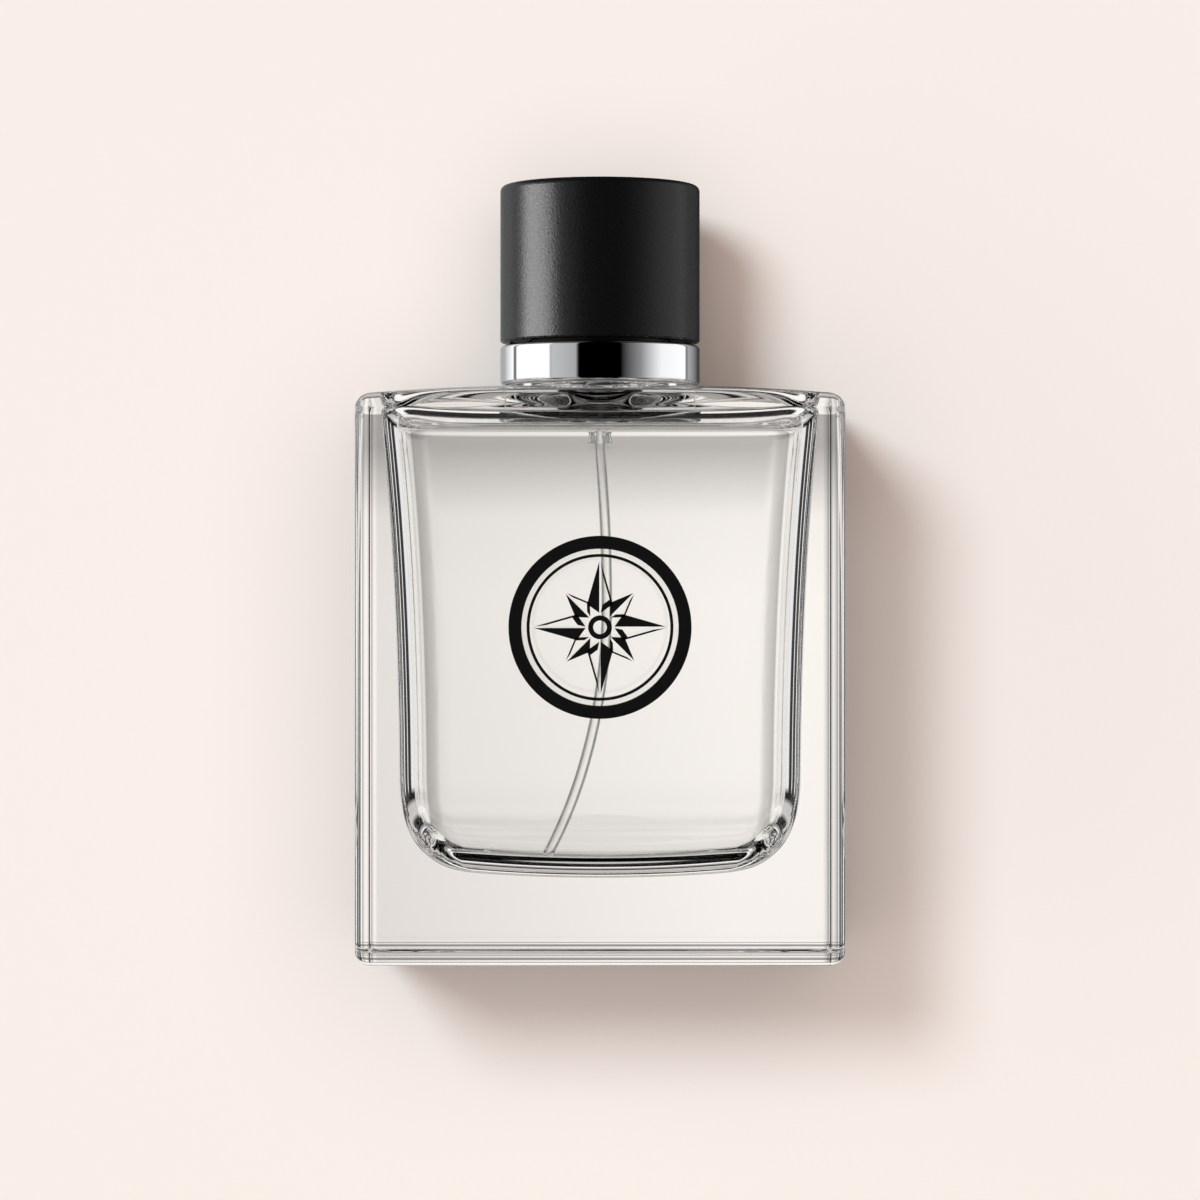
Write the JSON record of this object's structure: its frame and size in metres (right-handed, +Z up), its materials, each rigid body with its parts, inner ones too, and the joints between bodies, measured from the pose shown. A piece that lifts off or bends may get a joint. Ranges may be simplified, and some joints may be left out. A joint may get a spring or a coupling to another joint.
{
  "type": "fragrance spray bottle",
  "caption": "Rectangular clear glass spray bottle of aftershave with a crimped pump, a bright plated collar and a round black pull-off cap.",
  "frame": {"origin": "centre of the base, on the surface that the bottle stands on", "axes": "+Z up along the pump axis, +X to the right along the wide front face, front face and spray hole towards -Y"},
  "size_m": [0.072, 0.034, 0.116],
  "materials": {
    "clear_glass": "polished",
    "aftershave_liquid": "gloss",
    "natural_polyethylene": "satin",
    "natural_polypropylene": "satin",
    "steel": "polished",
    "white_acetal": "satin",
    "black_rubber": "matte",
    "white_gasket": "matte",
    "ferrule_aluminium": "satin",
    "black_polypropylene": "satin",
    "bright_plating": "polished",
    "grained_black": "matte"
  },
  "bodies": {
    "root": {"glass_bottle": "clear_glass", "aftershave_fill": "aftershave_liquid", "dip_tube": "natural_polyethylene", "pump_housing": "natural_polypropylene", "return_spring": "steel", "housing_closure": "white_acetal", "stem_gasket": "black_rubber", "neck_gasket": "white_gasket", "crimp_ferrule": "ferrule_aluminium", "collar_clip": "black_polypropylene", "collar_shell": "bright_plating"},
    "stem": {"pump_stem": "white_acetal", "piston_seal": "natural_polyethylene"},
    "actuator": {"actuator_core": "black_polypropylene", "actuator_sleeve": "bright_plating", "spray_insert": "white_acetal"},
    "ball": {"inlet_ball": "steel"},
    "cap": {"cap_liner": "black_polypropylene", "cap_shell": "grained_black"}
  },
  "joints": [
    {"name": "cap_lift", "type": "slide", "parent": "root", "child": "cap", "axis": [0, 0, 1], "range_m": [0, 0.026]},
    {"name": "actuator_press", "type": "slide", "parent": "root", "child": "stem", "axis": [0, 0, -1], "range_m": [0, 0.0035], "stiffness_N_per_m": 2500, "deforming": ["return_spring"]},
    {"name": "actuator_turn", "type": "hinge", "parent": "stem", "child": "actuator", "pos_m": [0, 0, 0.103], "axis": [0, 0, 1], "continuous": true},
    {"name": "inlet_ball_lift", "type": "slide", "parent": "root", "child": "ball", "axis": [0, 0, 1], "range_m": [0, 0.0006]}
  ]
}
